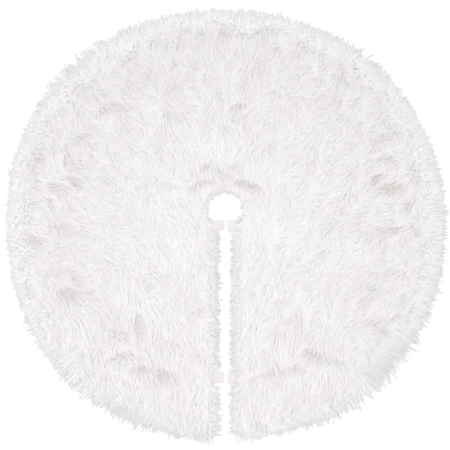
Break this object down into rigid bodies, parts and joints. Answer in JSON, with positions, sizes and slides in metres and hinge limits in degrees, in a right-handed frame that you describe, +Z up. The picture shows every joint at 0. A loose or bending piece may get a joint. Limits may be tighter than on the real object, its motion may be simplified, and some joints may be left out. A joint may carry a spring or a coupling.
{
  "type": "tree skirt",
  "caption": "Round faux-fur tree skirt with a trunk hole, a slit to the hem and hook-and-loop closure tapes across the slit, over a thin lining.",
  "frame": {"origin": "centre of the trunk hole, on the floor that the skirt lies on", "axes": "+Z up, the slit runs from the hole towards -Y, the back seam towards +Y, +X to the right"},
  "size_m": [1.2, 1.199, 0.022],
  "materials": {
    "fur": "long white faux-fur pile, matt",
    "lining": "thin white woven lining",
    "thread": "white sewing thread",
    "tape": "woven tape, white with a lilac cast",
    "loop": "brushed loop pile",
    "hook": "nylon hooks"
  },
  "bodies": {
    "left_half": {"fur_panel_left": "fur", "lining_left": "lining", "fur_back_seam": "thread", "lining_back_seam": "thread", "hem_seam_left": "thread", "trunk_hole_seam_left": "thread", "slit_seam_left": "thread", "inner_tape_root_left": "tape", "outer_tape_root_left": "tape", "inner_tape_stitch_left": "thread", "outer_tape_stitch_left": "thread"},
    "right_half": {"fur_panel_right": "fur", "lining_right": "lining", "hem_seam_right_front": "thread", "hem_seam_right_back": "thread", "turning_gap_stitch": "thread", "trunk_hole_seam_right": "thread", "slit_seam_right": "thread", "inner_tape_root_right": "tape", "outer_tape_root_right": "tape", "inner_tape_stitch_right": "thread", "outer_tape_stitch_right": "thread"},
    "inner_tab_left": {"inner_tape_left": "tape", "inner_loop_pile_left": "loop"},
    "outer_tab_left": {"outer_tape_left": "tape", "outer_loop_pile_left": "loop"},
    "inner_tab_right": {"inner_tape_right": "tape", "inner_hook_pad_right": "hook"},
    "outer_tab_right": {"outer_tape_right": "tape", "outer_hook_pad_right": "hook"}
  },
  "joints": [
    {"name": "half_fold", "type": "hinge", "parent": "left_half", "child": "right_half", "pos_m": [0, 0.3, 0.0225], "axis": [0, -1, 0], "range_deg": [0, 179]},
    {"name": "inner_tab_left_lift", "type": "hinge", "parent": "left_half", "child": "inner_tab_left", "pos_m": [-0.03207, -0.0425, 0.0016], "axis": [0, 1, 0], "range_deg": [-90, 0]},
    {"name": "outer_tab_left_lift", "type": "hinge", "parent": "left_half", "child": "outer_tab_left", "pos_m": [-0.02944, -0.448, 0.0016], "axis": [0, 1, 0], "range_deg": [-90, 0]},
    {"name": "inner_tab_right_lift", "type": "hinge", "parent": "right_half", "child": "inner_tab_right", "pos_m": [0.03207, -0.0425, 0.0016], "axis": [0, -1, 0], "range_deg": [-90, 0]},
    {"name": "outer_tab_right_lift", "type": "hinge", "parent": "right_half", "child": "outer_tab_right", "pos_m": [0.02944, -0.448, 0.0016], "axis": [0, -1, 0], "range_deg": [-90, 0]}
  ]
}
